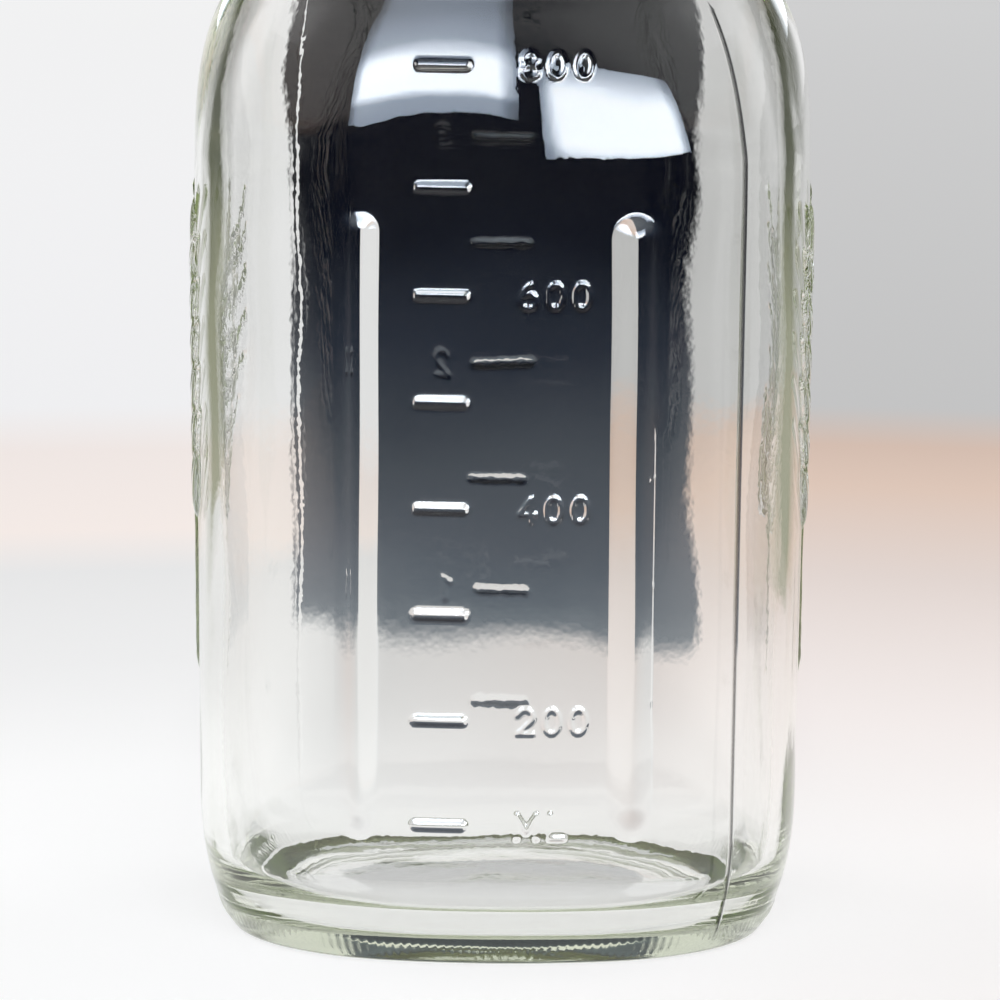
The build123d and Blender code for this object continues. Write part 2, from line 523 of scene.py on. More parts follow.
@dataclass(frozen=True)
class BodyForm:
    """The body's outside: a rounded square with bowed sides that turns round at the neck."""

    half: float = 46.8 * MM
    side_bow: float = 84.0 * MM
    corner: float = 34.5 * MM
    height: float = 169.5 * MM
    heel_height: float = 22.0 * MM
    heel_set_in: float = 0.95 * MM
    foot_set_in: float = 4.25 * MM
    heel_curve: float = 2.6
    shoulder_height: float = 30.0 * MM
    shoulder_curve: float = 3.6
    fade_height: float = 23.0 * MM
    neck_height: float = 27.5 * MM
    neck_radius: float = 41.5 * MM
    neck_cove: float = 0.5 * MM
    cove_height: float = 1.6 * MM

    @property
    def neck_start(self) -> float:
        """Height where the shoulder ends."""
        return self.height - self.neck_height

    @property
    def shoulder_start(self) -> float:
        """Height where the shoulder starts to draw in."""
        return self.neck_start - self.shoulder_height

    @property
    def cove_top(self) -> float:
        """Height where the neck is plain."""
        return self.neck_start + self.cove_height

    @property
    def foot_half(self) -> float:
        """Half width of the foot."""
        return self.half - self.heel_set_in - self.foot_set_in

    def half_at(self, height: np.ndarray | float) -> np.ndarray:
        """Half width across the sides.

        Args:
            height: One height or an array of them.

        Returns:
            The half width at each height.
        """
        z = np.asarray(height, dtype=float)
        heel_half = self.half - self.heel_set_in
        left = np.clip(1.0 - z / self.heel_height, 0.0, 1.0)
        heel = heel_half - self.foot_set_in * left**self.heel_curve
        climb = np.clip((z - self.heel_height) / (self.shoulder_start - self.heel_height), 0.0, 1.0)
        wall = heel + self.heel_set_in * climb
        rise = np.clip((z - self.shoulder_start) / self.shoulder_height, 0.0, 1.0)
        drop = self.half - self.neck_radius - self.neck_cove
        body = wall - drop * rise**self.shoulder_curve
        cove = np.clip((self.cove_top - z) / self.cove_height, 0.0, 1.0)
        return np.where(z < self.neck_start, body, self.neck_radius + self.neck_cove * cove**2)

    def square_at(self, height: np.ndarray | float) -> np.ndarray:
        """One where the section is the full rounded square, zero where it is round."""
        return np.clip((self.neck_start - np.asarray(height)) / self.fade_height, 0.0, 1.0)

    def reach(self, angle: np.ndarray) -> np.ndarray:
        """The rounded square's radius over its half width.

        Args:
            angle: Angles about the axis.

        Returns:
            The ratio at each angle.
        """
        quarter = math.pi / 2
        folded = np.abs((angle + quarter / 2) % quarter - quarter / 2)
        shift = self.side_bow - self.half
        run = self.side_bow - self.corner
        centre = (math.sqrt(2 * run**2 - shift**2) - shift) / 2
        meet = math.atan2(centre, centre + shift)
        split = math.atan2(self.side_bow * math.sin(meet), self.side_bow * math.cos(meet) - shift)
        cosine, sine = np.cos(folded), np.sin(folded)
        side = np.sqrt(self.side_bow**2 - (shift * sine) ** 2) - shift * cosine
        along = centre * (cosine + sine)
        corner = along + np.sqrt(np.maximum(along**2 - 2 * centre**2 + self.corner**2, 0.0))
        return np.where(folded <= split, side, corner) / self.half

    def shaped(self, angle: np.ndarray, height: np.ndarray, radius: np.ndarray) -> np.ndarray:
        """Places of points given by angle, height and their radius at a side's middle."""
        grown = radius * (1.0 + self.square_at(height) * (self.reach(angle) - 1.0))
        return np.stack([grown * np.cos(angle), grown * np.sin(angle), height], axis=1)


@dataclass(frozen=True)
class Relief:
    """Raised glass on one side of the body; across and up are as that side is faced."""

    side: Side

    def area(self) -> tuple[float, float, float, float]:
        """Left, right, low and high end of the area that the relief needs."""
        raise NotImplementedError

    def heights(self, across: np.ndarray, up: np.ndarray) -> np.ndarray:
        """How far the relief stands out at the points."""
        raise NotImplementedError

    def keeps_whole(self, height: float, climb: float) -> bool:
        """Whether an edge from that height, with that climb, needs no dividing."""
        return False

    def near(self, places: np.ndarray, least_out: float) -> tuple[np.ndarray, np.ndarray]:
        """Finds the points in the relief's area.

        Args:
            places: Points in the frame, of shape (n, 3).
            least_out: Distance from the axis that its side's points have at least.

        Returns:
            Whether each point is in the area, and its distance across.
        """
        left, right, low, high = self.area()
        across, out = self.side.across_and_out(places[:, 0], places[:, 1])
        inside = (out > least_out) & (across > left) & (across < right)
        return inside & (places[:, 2] > low) & (places[:, 2] < high), across


@dataclass(frozen=True)
class BarRelief(Relief):
    """A raised bar with round ends."""

    start: Point
    end: Point
    width: float
    proud: float
    softness: float
    spread: float = 1.12
    margin: float = 1.2 * MM
    cuts: int = 3

    def area(self) -> tuple[float, float, float, float]:
        """Left, right, low and high end of the area that the bar needs.

        Returns:
            The four ends.
        """
        margin = self.width / 2 + self.margin
        across = sorted((self.start[0], self.end[0]))
        up = sorted((self.start[1], self.end[1]))
        return across[0] - margin, across[1] + margin, up[0] - margin, up[1] + margin

    def heights(self, across: np.ndarray, up: np.ndarray) -> np.ndarray:
        """How far the bar stands out.

        Args:
            across: The points' distances across.
            up: Their heights.

        Returns:
            One height of relief for each point.
        """
        points = np.stack([across, up], axis=1)
        distance = segment_distance(points, np.array(self.start), np.array(self.end))
        return self.proud * ridge(distance, self.width / 2 * self.spread, self.softness)


@dataclass(frozen=True)
class RibRelief(Relief):
    """An upright rib: round along its crest, with a soft flank on either side."""

    middle: float
    low: float
    high: float
    inner_width: float = 3.8 * MM
    outer_width: float = 3.9 * MM
    proud: float = 1.1 * MM
    crest_shift: float = 0.85 * MM
    drift: float = 0.05 * MM
    drift_step: float = 6.5 * MM
    end_reach: float = 7.0 * MM
    foot_stretch: float = 1.35
    foot_share: float = 0.5
    swell_height: float = 12.0 * MM
    crown: float = 1.6
    flank_curve: float = 1.5
    shortest_climb: float = 0.1 * MM
    cuts: int = 5

    def area(self) -> tuple[float, float, float, float]:
        """Left, right, low and high end of the area that the rib needs.

        Returns:
            The four ends.
        """
        margin = self.inner_width
        left, right = self.middle - margin, self.middle + margin
        return left, right, self.low - margin / 2, self.high + margin / 2

    def keeps_whole(self, height: float, climb: float) -> bool:
        """Whether an edge stays whole: an upright one, away from the rib's round ends."""
        straight = self.low + self.end_reach < height < self.high - self.end_reach
        return straight and climb > self.shortest_climb

    def heights(self, across: np.ndarray, up: np.ndarray) -> np.ndarray:
        """How far the rib stands out.

        Args:
            across: The points' distances across.
            up: Their heights.

        Returns:
            One height of relief for each point.
        """
        crest = self.crest_shift + self.drift * np.sin(up / self.drift_step + self.middle / MM)
        outward = (across - self.middle) * math.copysign(1.0, self.middle) - crest
        flank = np.where(outward > 0, self.outer_width, self.inner_width)
        reach = (self.inner_width + self.outer_width) / 2
        foot = self.foot_stretch * reach
        under, over = (self.low + foot - up) / foot, (up - self.high + reach) / reach
        past = np.maximum(np.maximum(under, over), 0.0)
        share = np.clip(np.hypot(outward / flank, past), 0.0, 1.0)
        swell = smooth_step(up, self.low, self.low + self.swell_height)
        swell = self.foot_share + (1.0 - self.foot_share) * swell
        return self.proud * swell * (1.0 - share**self.crown) ** self.flank_curve


def ring_points(centre: Point, radii: Point, start: float, end: float) -> Profile:
    """Points of a numeral's curved stroke.

    Args:
        centre: The curve's middle, as shares of the numeral's cell.
        radii: Its reach across and up.
        start: Angle of its first point in degrees.
        end: Angle of its last point.

    Returns:
        The points, as shares of the cell.
    """
    count = max(4, round(abs(end - start) / STROKE_STEP_DEGREES))
    turns = [math.radians(start + (end - start) * step / count) for step in range(count + 1)]
    return [(centre[0] + radii[0] * math.cos(t), centre[1] + radii[1] * math.sin(t)) for t in turns]


def stroke_shares() -> dict[str, list[Profile]]:
    """Strokes of the plain numerals and of the unit.

    Returns:
        For each character its strokes, as shares of a cell one high.
    """
    half = 0.31
    return {
        "0": [ring_points((half, 0.5), (half, 0.5), 0, 360)],
        "1": [[(0.1, 0.8), (half, 1.0), (half, 0.0)]],
        "2": [ring_points((half, 0.7), (half, 0.3), 165, -35) + [(0.0, 0.0), (2 * half, 0.0)]],
        "3": [
            ring_points((half, 0.75), (half * 0.9, 0.25), 150, -90),
            ring_points((half, 0.27), (half, 0.27), 90, -150),
        ],
        "4": [[(0.48, 0.0), (0.48, 1.0), (0.0, 0.32), (0.66, 0.32)]],
        "6": [
            ring_points((half, 0.3), (half, 0.3), 0, 360),
            ring_points((half * 1.9, 0.3), (half * 1.9, 0.72), 180, 112),
        ],
        "8": [
            ring_points((half, 0.76), (half * 0.86, 0.24), 0, 360),
            ring_points((half, 0.26), (half, 0.26), 0, 360),
        ],
        "m": [[(0.0, 0.0), (0.0, 1.0), (0.4, 0.3), (0.8, 1.0), (0.8, 0.0)]],
        "l": [[(0.0, 1.0), (0.0, 0.0), (0.55, 0.0)]],
    }


@dataclass(frozen=True)
class NumeralRelief(Relief):
    """A raised number, or the unit, beside a bar of a scale."""

    text: str
    left: float
    middle: float
    size: float = 3.6 * MM
    stroke: float = 0.8 * MM
    proud: float = 0.18 * MM
    pitch_share: float = 1.08
    unit_stretch: float = 1.25
    spread: float = 1.15
    margin_share: float = 1.4
    cuts: int = 4

    @property
    def pitch(self) -> float:
        """Distance from one character to the next."""
        return self.size * self.pitch_share * (self.unit_stretch if self.text == "ml" else 1.0)

    def area(self) -> tuple[float, float, float, float]:
        """Left, right, low and high end of the area that the number needs.

        Returns:
            The four ends.
        """
        right = self.left + self.pitch * len(self.text)
        low, high = self.middle - self.size / 2, self.middle + self.size / 2
        margin = self.stroke * self.margin_share
        return self.left - margin, right + self.stroke / 2, low - margin, high + margin

    def heights(self, across: np.ndarray, up: np.ndarray) -> np.ndarray:
        """How far the strokes stand out.

        Args:
            across: The points' distances across.
            up: Their heights.

        Returns:
            One height of relief for each point.
        """
        points = np.stack([across, up], axis=1)
        nearest = np.full(len(points), self.size)
        for index, character in enumerate(self.text):
            corner = np.array([self.left + index * self.pitch, self.middle - self.size / 2])
            for stroke in stroke_shares()[character]:
                ends = corner + np.array(stroke) * self.size
                for start, end in zip(ends, ends[1:]):
                    nearest = np.minimum(nearest, segment_distance(points, start, end))
        return self.proud * ridge(nearest, self.stroke / 2 * self.spread, 1.0)


@dataclass(frozen=True)
class EarRelief(Relief):
    """A raised ear of grain on a side: a stem, paired grains and their beards."""

    low: float
    high: float
    grain_pairs: int = 6
    grain_length: float = 13.0 * MM
    grain_width: float = 6.4 * MM
    grain_fullness: float = 0.45
    grain_taper: float = 0.35
    crease_depth: float = 0.6
    crease_half_width: float = 0.7 * MM
    proud: float = 0.95 * MM
    stem_width: float = 1.3 * MM
    stem_proud_share: float = 0.55
    stem_fade: float = 4.0 * MM
    beard_proud_share: float = 0.45
    beard_half_width: float = 0.5 * MM
    beard_share: float = 0.6
    bow: float = 1.6 * MM
    lean_degrees: float = 36.0
    stem_share: float = 0.36
    margin: float = 2.0 * MM
    cuts: int = 2

    def area(self) -> tuple[float, float, float, float]:
        """Left, right, low and high end of the area that the ear needs."""
        reach = self.grain_length * 1.25
        return -reach, reach, self.low - self.margin, self.high + self.margin

    def grains(self) -> list[tuple[float, float, float]]:
        """Lays out the grains, in pairs with one at the tip.

        Returns:
            Middle, across and up, and lean of each grain.
        """
        foot = self.low + (self.high - self.low) * self.stem_share
        step = (self.high - foot - self.grain_length * 0.6) / self.grain_pairs
        lean = math.radians(self.lean_degrees)
        places = []
        for pair in range(self.grain_pairs):
            for hand in (-1, 1):
                up = foot + step * (pair + 0.5 + 0.22 * (hand > 0))
                places.append((hand * self.grain_width * 0.95, up, -hand * lean))
        places.append((0.0, self.high - self.grain_length * 0.45, 0.0))
        return places

    def stem(self, across: np.ndarray, up: np.ndarray) -> np.ndarray:
        """Height of the stem, one on its crest.

        Args:
            across: The points' distances from its line.
            up: Their heights.

        Returns:
            One share for each point.
        """
        crest = ridge(across, self.stem_width / 2, 1.0)
        below_tip = up < self.high - self.grain_length * 0.5
        return crest * (smooth_step(up, self.low, self.low + self.stem_fade) * below_tip)

    def heights(self, across: np.ndarray, up: np.ndarray) -> np.ndarray:
        """How far the ear stands out.

        Args:
            across: The points' distances across.
            up: Their heights.

        Returns:
            One height of relief for each point.
        """
        across = across - self.bow * np.sin((up - self.low) / (self.high - self.low) * math.tau)
        points = np.stack([across, up], axis=1)
        height = self.stem_proud_share * self.proud * self.stem(across, up)
        half_length, half_width = self.grain_length / 2, self.grain_width / 2
        for middle, level, lean in self.grains():
            cosine, sine = math.cos(lean), math.sin(lean)
            aside = (across - middle) * cosine + (up - level) * sine
            along = (up - level) * cosine - (across - middle) * sine
            taper = 1.0 - self.grain_taper * along / half_length
            inside = (along / half_length) ** 2 + (aside / (half_width * taper)) ** 2
            grain = np.clip(1.0 - inside, 0.0, 1.0) ** self.grain_fullness
            crease = 1.0 - self.crease_depth * ridge(aside, self.crease_half_width, 1.0)
            height = np.maximum(height, self.proud * grain * crease)
            upward = np.array([-sine, cosine])
            tip = np.array([middle, level]) + upward * half_length
            beard = tip + upward * self.grain_length * self.beard_share
            strand = ridge(segment_distance(points, tip, beard), self.beard_half_width, 1.0)
            height = np.maximum(height, self.beard_proud_share * self.proud * strand)
        return height


@dataclass(frozen=True)
class ThreadRidge:
    """A ridge wound round the axis: the glass thread, or the groove rolled into the band."""

    top: float
    pitch: float
    turns: float
    half_width: float
    power: float
    fade: float

    def heights(self, angle: np.ndarray, height: np.ndarray) -> np.ndarray:
        """Height of the ridge, one on its crest.

        Args:
            angle: The points' angles about the axis.
            height: Their heights.

        Returns:
            One share for each point.
        """
        turn = (angle / math.tau) % 1.0
        proud = np.zeros_like(height)
        for wrap in range(math.ceil(self.turns) + 1):
            passed = turn + wrap
            level = self.top - self.pitch * (self.turns - passed)
            ends = smooth_step(passed, 0.0, self.fade)
            ends = ends * (1.0 - smooth_step(passed, self.turns - self.fade, self.turns))
            proud = np.maximum(proud, ends * ridge(height - level, self.half_width, self.power))
        return proud


@dataclass
class JarGlass:
    """The glass jar: one closed mesh of outside, lip, hollow, floor and push-up."""

    form: BodyForm = field(default_factory=BodyForm)
    wall: float = 3.1 * MM
    floor_height: float = 4.0 * MM
    inner_heel: float = 9.0 * MM
    floor_dome: float = 2.0 * MM
    dome_radius: float = 30.0 * MM
    foot_width: float = 5.2 * MM
    foot_round: float = 1.1 * MM
    push_up: float = 3.0 * MM
    wall_start: float = 2.2 * MM
    finish_radius: float = 41.3 * MM
    lip_width: float = 3.2 * MM
    lip_round: float = 0.9 * MM
    plain_neck: float = 7.5 * MM
    bead_radius: float = 43.2 * MM
    bead_height: float = 3.6 * MM
    bead_round: float = 1.5 * MM
    thread_proud: float = 1.4 * MM
    thread_half_width: float = 1.35 * MM
    thread_pitch: float = 5.0 * MM
    thread_drop: float = 4.6 * MM
    thread_turns: float = 1.3
    row_step: float = 1.5 * MM
    inner_row_step: float = 4.0 * MM
    steps: int = 216
    seam_proud: float = 0.14 * MM
    back_seam_proud: float = 0.05 * MM
    seam_half_width: float = 0.45 * MM
    seam_degrees: float = 1.3
    seam_cuts: int = 5
    stipple_top: float = 4.2 * MM
    stipple_middle: float = 2.6 * MM
    stipple_half_height: float = 1.5 * MM
    stipple_count: int = 216
    stipple_proud: float = 0.12 * MM
    stipple_cuts: int = 3
    wave_height: float = 0.24 * MM
    bar_width: float = 1.5 * MM
    bar_proud: float = 0.45 * MM
    front_bar: tuple[float, float] = (-8.7 * MM, 8.2 * MM)
    back_bar: tuple[float, float] = (0.0, 10.2 * MM)
    front_softness: float = 0.75
    back_softness: float = 1.6
    front_numerals: float = 2.8 * MM
    back_numerals: float = 8.6 * MM
    front_first: float = 21.6 * MM
    back_first: float = 24.5 * MM
    rib_low: float = 19.0 * MM
    ear_ends: tuple[float, float] = (36.0 * MM, 110.0 * MM)

    @property
    def bore(self) -> float:
        """Radius of the mouth."""
        return self.finish_radius - self.lip_width

    @property
    def finish_start(self) -> float:
        """Height where the finish starts over the neck's bead."""
        return self.form.neck_start + self.plain_neck

    def inset_at(self, height: float) -> float:
        """Glass thickness at a height of the hollow.

        Args:
            height: The height.

        Returns:
            How far the hollow lies inside the outside there.
        """
        left = 1.0 - (height - self.floor_height) / self.inner_heel
        if left > 0:
            return self.wall + self.inner_heel * (1.0 - math.sqrt(max(1.0 - left**2, 0.0)))
        rise = min(max(height - self.form.shoulder_start, 0.0) / self.form.shoulder_height, 1.0)
        return self.wall + (self.form.neck_radius - self.bore - self.wall) * rise

    def outside_profile(self) -> Profile:
        """Lays out the outside, from the push-up's middle round the foot and up to the lip.

        Returns:
            Radius and height points.
        """
        ring = self.form.foot_half - self.foot_width
        points = [(0.0, self.push_up)]
        for share in (0.18, 0.34, 0.5, 0.64, 0.76, 0.86, 0.94):
            points.append((ring * share, self.push_up * (1.0 - share**2)))
        points += [(ring, 0.25 * MM), (ring + 0.9 * MM, 0.0), (ring + 2.2 * MM, 0.0)]
        edge = (self.form.foot_half - self.foot_round * 0.9, self.foot_round)
        points += arc(edge, self.foot_round, -90, -18, 5)
        climb = self.form.neck_start - self.wall_start
        count = round(climb / self.row_step)
        for step in range(count + 1):
            height = self.wall_start + climb * step / count
            points.append((float(self.form.half_at(height)), height))
        return points + self.neck_profile()

    def neck_profile(self) -> Profile:
        """Lays out the neck, from the shoulder over its bead and the finish to the lip.

        Returns:
            Radius and height points.
        """
        form = self.form
        points = []
        for share in (0.3, 0.65, 1.0):
            height = form.neck_start + form.cove_height * share
            points.append((float(form.half_at(height)), height))
        bead_low = self.finish_start - self.bead_height
        bead_x = self.bead_radius - self.bead_round
        points.append((form.neck_radius, bead_low - 0.9 * MM))
        points.append((form.neck_radius + 0.25 * MM, bead_low - 0.15 * MM))
        points += arc((bead_x, bead_low + self.bead_round), self.bead_round, -70, 0, 5)
        points += arc((bead_x, self.finish_start - self.bead_round), self.bead_round, 0, 70, 5)
        points.append((self.finish_radius + 0.2 * MM, self.finish_start + 0.25 * MM))
        edge = form.height - self.lip_round
        finish_low = (self.finish_radius, self.finish_start + 1.0 * MM)
        points += line(finish_low, (self.finish_radius, edge), 0.5 * MM)
        points += arc((self.finish_radius - self.lip_round, edge), self.lip_round, 0, 90, 6)
        return points

    def hollow_point(self, height: float) -> Point:
        """The hollow's wall at a height."""
        return float(self.form.half_at(height)) - self.inset_at(height), height

    def inside_profile(self) -> Profile:
        """Lays out the hollow, from the lip's inner edge down to the floor's middle.

        Returns:
            Radius and height points.
        """
        form = self.form
        edge = form.height - self.lip_round
        points = arc((self.bore + self.lip_round, edge), self.lip_round, 90, 180, 6)
        points += line((self.bore, edge - 1.2 * MM), (self.bore, form.cove_top), 3.0 * MM)
        floor_edge = self.floor_height + self.inner_heel
        count = round((form.cove_top - floor_edge) / self.inner_row_step)
        for step in range(count):
            height = form.cove_top + (floor_edge - form.cove_top) * step / count
            points.append(self.hollow_point(height))
        for turn in range(90, 4, -7):
            fall = self.inner_heel * (1.0 - math.cos(math.radians(turn)))
            points.append(self.hollow_point(self.floor_height + fall))
        for share in (1.0, 0.86, 0.72, 0.58, 0.44, 0.3, 0.16, 0.0):
            rise = self.floor_dome * (1.0 - share**2)
            points.append((self.dome_radius * share, self.floor_height + rise))
        return points

    def scale_bar(self, side: Side, place: Point, height: float, softness: float) -> BarRelief:
        """Makes one level bar of a scale.

        Args:
            side: The side that it stands on.
            place: Its middle across and its length.
            height: Its height.
            softness: How soft its shoulders are.

        Returns:
            The bar.
        """
        middle, length = place
        reach = (length - self.bar_width) / 2
        ends = (middle - reach, height), (middle + reach, height)
        return BarRelief(side, *ends, self.bar_width, self.bar_proud, softness)

    def reliefs(self) -> list[Relief]:
        """Lays out the ribs, bars and numerals of the front and the back, and the sides' ears.

        Returns:
            What stands on the four sides.
        """
        start = self.form.shoulder_start
        left_rib = {"inner_width": 2.7 * MM, "outer_width": 3.2 * MM, "proud": 0.85 * MM}
        reliefs: list[Relief] = [
            RibRelief(Side.FRONT, -19.5 * MM, self.rib_low, start, **left_rib),
            RibRelief(Side.FRONT, 18.7 * MM, self.rib_low, start),
        ]
        first, last = self.front_first, start + 3.44 * MM
        fronts = [first + (last - first) * step / 6 for step in range(7)] + [start + 21.2 * MM]
        for height in fronts:
            reliefs.append(self.scale_bar(Side.FRONT, self.front_bar, height, self.front_softness))
        for text, height in zip(("ml", "200", "400", "600", "800"), fronts[:1] + fronts[1::2]):
            reliefs.append(NumeralRelief(Side.FRONT, text, self.front_numerals, height))
        first, last = self.back_first, start + 5.0 * MM
        backs = [first + (last - first) * step / 5 for step in range(6)]
        for height in backs:
            reliefs.append(self.scale_bar(Side.BACK, self.back_bar, height, self.back_softness))
        for text, height in zip(("1", "2", "3"), backs[1::2]):
            reliefs.append(NumeralRelief(Side.BACK, text, self.back_numerals, height))
        for side in (Side.LEFT, Side.RIGHT):
            reliefs.append(EarRelief(side, *self.ear_ends))
        return reliefs

    def refine(self, bm: bmesh.types.BMesh, reliefs: Sequence[Relief]) -> None:
        """Divides the outside's faces where relief will stand on them.

        Args:
            bm: The spun glass.
            reliefs: What stands on the sides.
        """
        bm.faces.ensure_lookup_table()
        middles = np.array([face.calc_center_median()[:] for face in bm.faces])
        angle, height = np.arctan2(middles[:, 1], middles[:, 0]), middles[:, 2]
        half = self.form.half_at(height)
        outside = np.hypot(middles[:, 0], middles[:, 1]) > half - self.wall / 2
        outside &= height > 2.0 * MM
        places = self.form.shaped(angle, height, half)
        chosen: dict[int, set[bmesh.types.BMEdge]] = {}
        for relief in reliefs:
            near, _ = relief.near(places, self.form.half / 2)
            edges = chosen.setdefault(relief.cuts, set())
            for index in np.flatnonzero(outside & near):
                for edge in bm.faces[index].edges:
                    low_end, high_end = sorted(vert.co.z for vert in edge.verts)
                    if not relief.keeps_whole(low_end, high_end - low_end):
                        edges.add(edge)
        taken: set[bmesh.types.BMEdge] = set()
        for cuts in sorted(chosen, reverse=True):
            edges = chosen[cuts] - taken
            taken |= edges
            bmesh.ops.subdivide_edges(bm, edges=list(edges), cuts=cuts, use_grid_fill=True)

    def refine_columns(self, bm: bmesh.types.BMesh) -> None:
        """Divides the level edges along the mould seams and round the stippled foot.

        Args:
            bm: The spun glass.
        """
        bm.verts.index_update()
        bm.edges.ensure_lookup_table()
        places = np.array([vert.co[:] for vert in bm.verts])
        ends = np.array([(edge.verts[0].index, edge.verts[1].index) for edge in bm.edges])
        level = np.abs(places[ends[:, 0], 2] - places[ends[:, 1], 2]) < 0.05 * MM
        middle = (places[ends[:, 0]] + places[ends[:, 1]]) / 2
        radius, height = np.hypot(middle[:, 0], middle[:, 1]), middle[:, 2]
        angle = np.degrees(np.arctan2(middle[:, 1], middle[:, 0]))
        outside = level & (height < self.form.neck_start)
        outside &= (radius > self.form.half_at(height) - self.wall / 2) | (height < self.foot_round)
        by_seam = np.minimum(np.abs(angle + 45), np.abs(angle - 135)) < self.seam_degrees
        seam = outside & by_seam & (height > self.foot_round)
        foot = outside & ~seam & (height < self.stipple_top)
        foot &= radius > self.form.foot_half - self.foot_width
        seam_edges = [bm.edges[index] for index in np.flatnonzero(seam)]
        foot_edges = [bm.edges[index] for index in np.flatnonzero(foot)]
        bmesh.ops.subdivide_edges(bm, edges=seam_edges, cuts=self.seam_cuts)
        bmesh.ops.subdivide_edges(bm, edges=foot_edges, cuts=self.stipple_cuts)

    def thread(self) -> ThreadRidge:
        """The screw thread of the finish.

        Returns:
            Its ridge.
        """
        top = self.form.height - self.thread_drop
        return ThreadRidge(
            top, self.thread_pitch, self.thread_turns, self.thread_half_width, power=0.7, fade=0.06
        )

    def stipple(self, angle: np.ndarray, height: np.ndarray) -> np.ndarray:
        """How far the short ridges round the heel stand out.

        Args:
            angle: The points' angles about the axis.
            height: Their heights.

        Returns:
            One height of relief for each point.
        """
        wave = np.clip(np.cos(angle * self.stipple_count), 0.0, 1.0)
        row = ridge(height - self.stipple_middle, self.stipple_half_height, 1.0)
        return self.stipple_proud * wave * row

    def seams(self, angle: np.ndarray) -> np.ndarray:
        """How far the two mould seams stand out, on opposite corners.

        Args:
            angle: The points' angles about the axis.

        Returns:
            One height of relief for each point.
        """
        width = self.seam_half_width / self.form.half
        front = ridge(angle + math.pi / 4, width, 1.0)
        back = ridge(angle - 3 * math.pi / 4, width, 1.0)
        return self.seam_proud * front + self.back_seam_proud * back

    def waves(self, angle: np.ndarray, height: np.ndarray) -> np.ndarray:
        """Slow waves of the blown inner wall.

        Args:
            angle: The points' angles about the axis.
            height: Their heights.

        Returns:
            How far the wall lies out of its plain form at each point.
        """
        slow = np.sin(2 * angle + 3.8 + height / (21 * MM)) * np.sin(height / (13 * MM) + 1.1)
        fast = np.sin(7 * angle - height / (16 * MM))
        fast = fast * np.sin(height / (7.5 * MM) + 2 * np.sin(angle))
        return self.wave_height * (0.7 * slow + 0.3 * fast)

    def build(self, material: bpy.types.Material) -> bpy.types.Object:
        """Builds the glass.

        Args:
            material: The glass finish.

        Returns:
            The jar as one closed mesh.
        """
        bm = spun(self.outside_profile() + self.inside_profile(), self.steps)
        spun_radius = bm.verts.layers.float.new(RADIUS_ATTRIBUTE)
        for vert in bm.verts:
            vert[spun_radius] = math.hypot(vert.co.x, vert.co.y)
        reliefs = self.reliefs()
        self.refine(bm, reliefs)
        self.refine_columns(bm)
        piece = finished("blown_jar", bm, material)
        piece.data.attributes.new(PAINTED_SEAM_SHADE_ATTRIBUTE, "FLOAT", "POINT")
        self.carve(piece.data, reliefs)
        return piece

    def carve(self, mesh: bpy.types.Mesh, reliefs: Sequence[Relief]) -> None:
        """Puts every vertex on the exact form and raises the relief.

        Args:
            mesh: The refined glass.
            reliefs: What stands on the sides.
        """
        form = self.form
        places = vertex_array(mesh)
        radius = np.empty(len(places))
        mesh.attributes[RADIUS_ATTRIBUTE].data.foreach_get("value", radius)
        angle, height = np.arctan2(places[:, 1], places[:, 0]), places[:, 2]
        half = form.half_at(height)
        below_neck = height < form.neck_start
        outside = (radius > half - self.wall / 2) & (height > self.wall_start) & below_neck
        radius = np.where(outside, half, radius)
        inner_wall = (radius < half - self.wall / 2) & (height > self.floor_height + 2 * MM)
        radius = radius + self.waves(angle, height) * (inner_wall & below_neck)
        places = form.shaped(angle, height, radius)
        raised = outside * self.seams(angle)
        # Painted shade along the front mould seam, stored on the vertices for the glass colour.
        painted_seam_mask = outside * ridge(angle + math.pi / 4, self.seam_half_width / form.half, 0.5)
        mesh.attributes[PAINTED_SEAM_SHADE_ATTRIBUTE].data.foreach_set("value", painted_seam_mask.astype(np.float32))
        finish = (radius > self.finish_radius - 0.6 * MM) & (height > self.finish_start + 0.6 * MM)
        raised += finish * self.thread_proud * self.thread().heights(angle, height)
        heel = (radius >= form.foot_half - 1.6 * MM) & (height < 4.5 * MM)
        raised += heel * self.stipple(angle, height)
        for relief in reliefs:
            near, across = relief.near(places, 20 * MM)
            near &= outside
            raised[near] = np.maximum(raised[near], relief.heights(across[near], height[near]))
        outward = np.stack([np.cos(angle), np.sin(angle), np.zeros(len(angle))], axis=1)
        move_vertices(mesh, places + outward * raised[:, None])


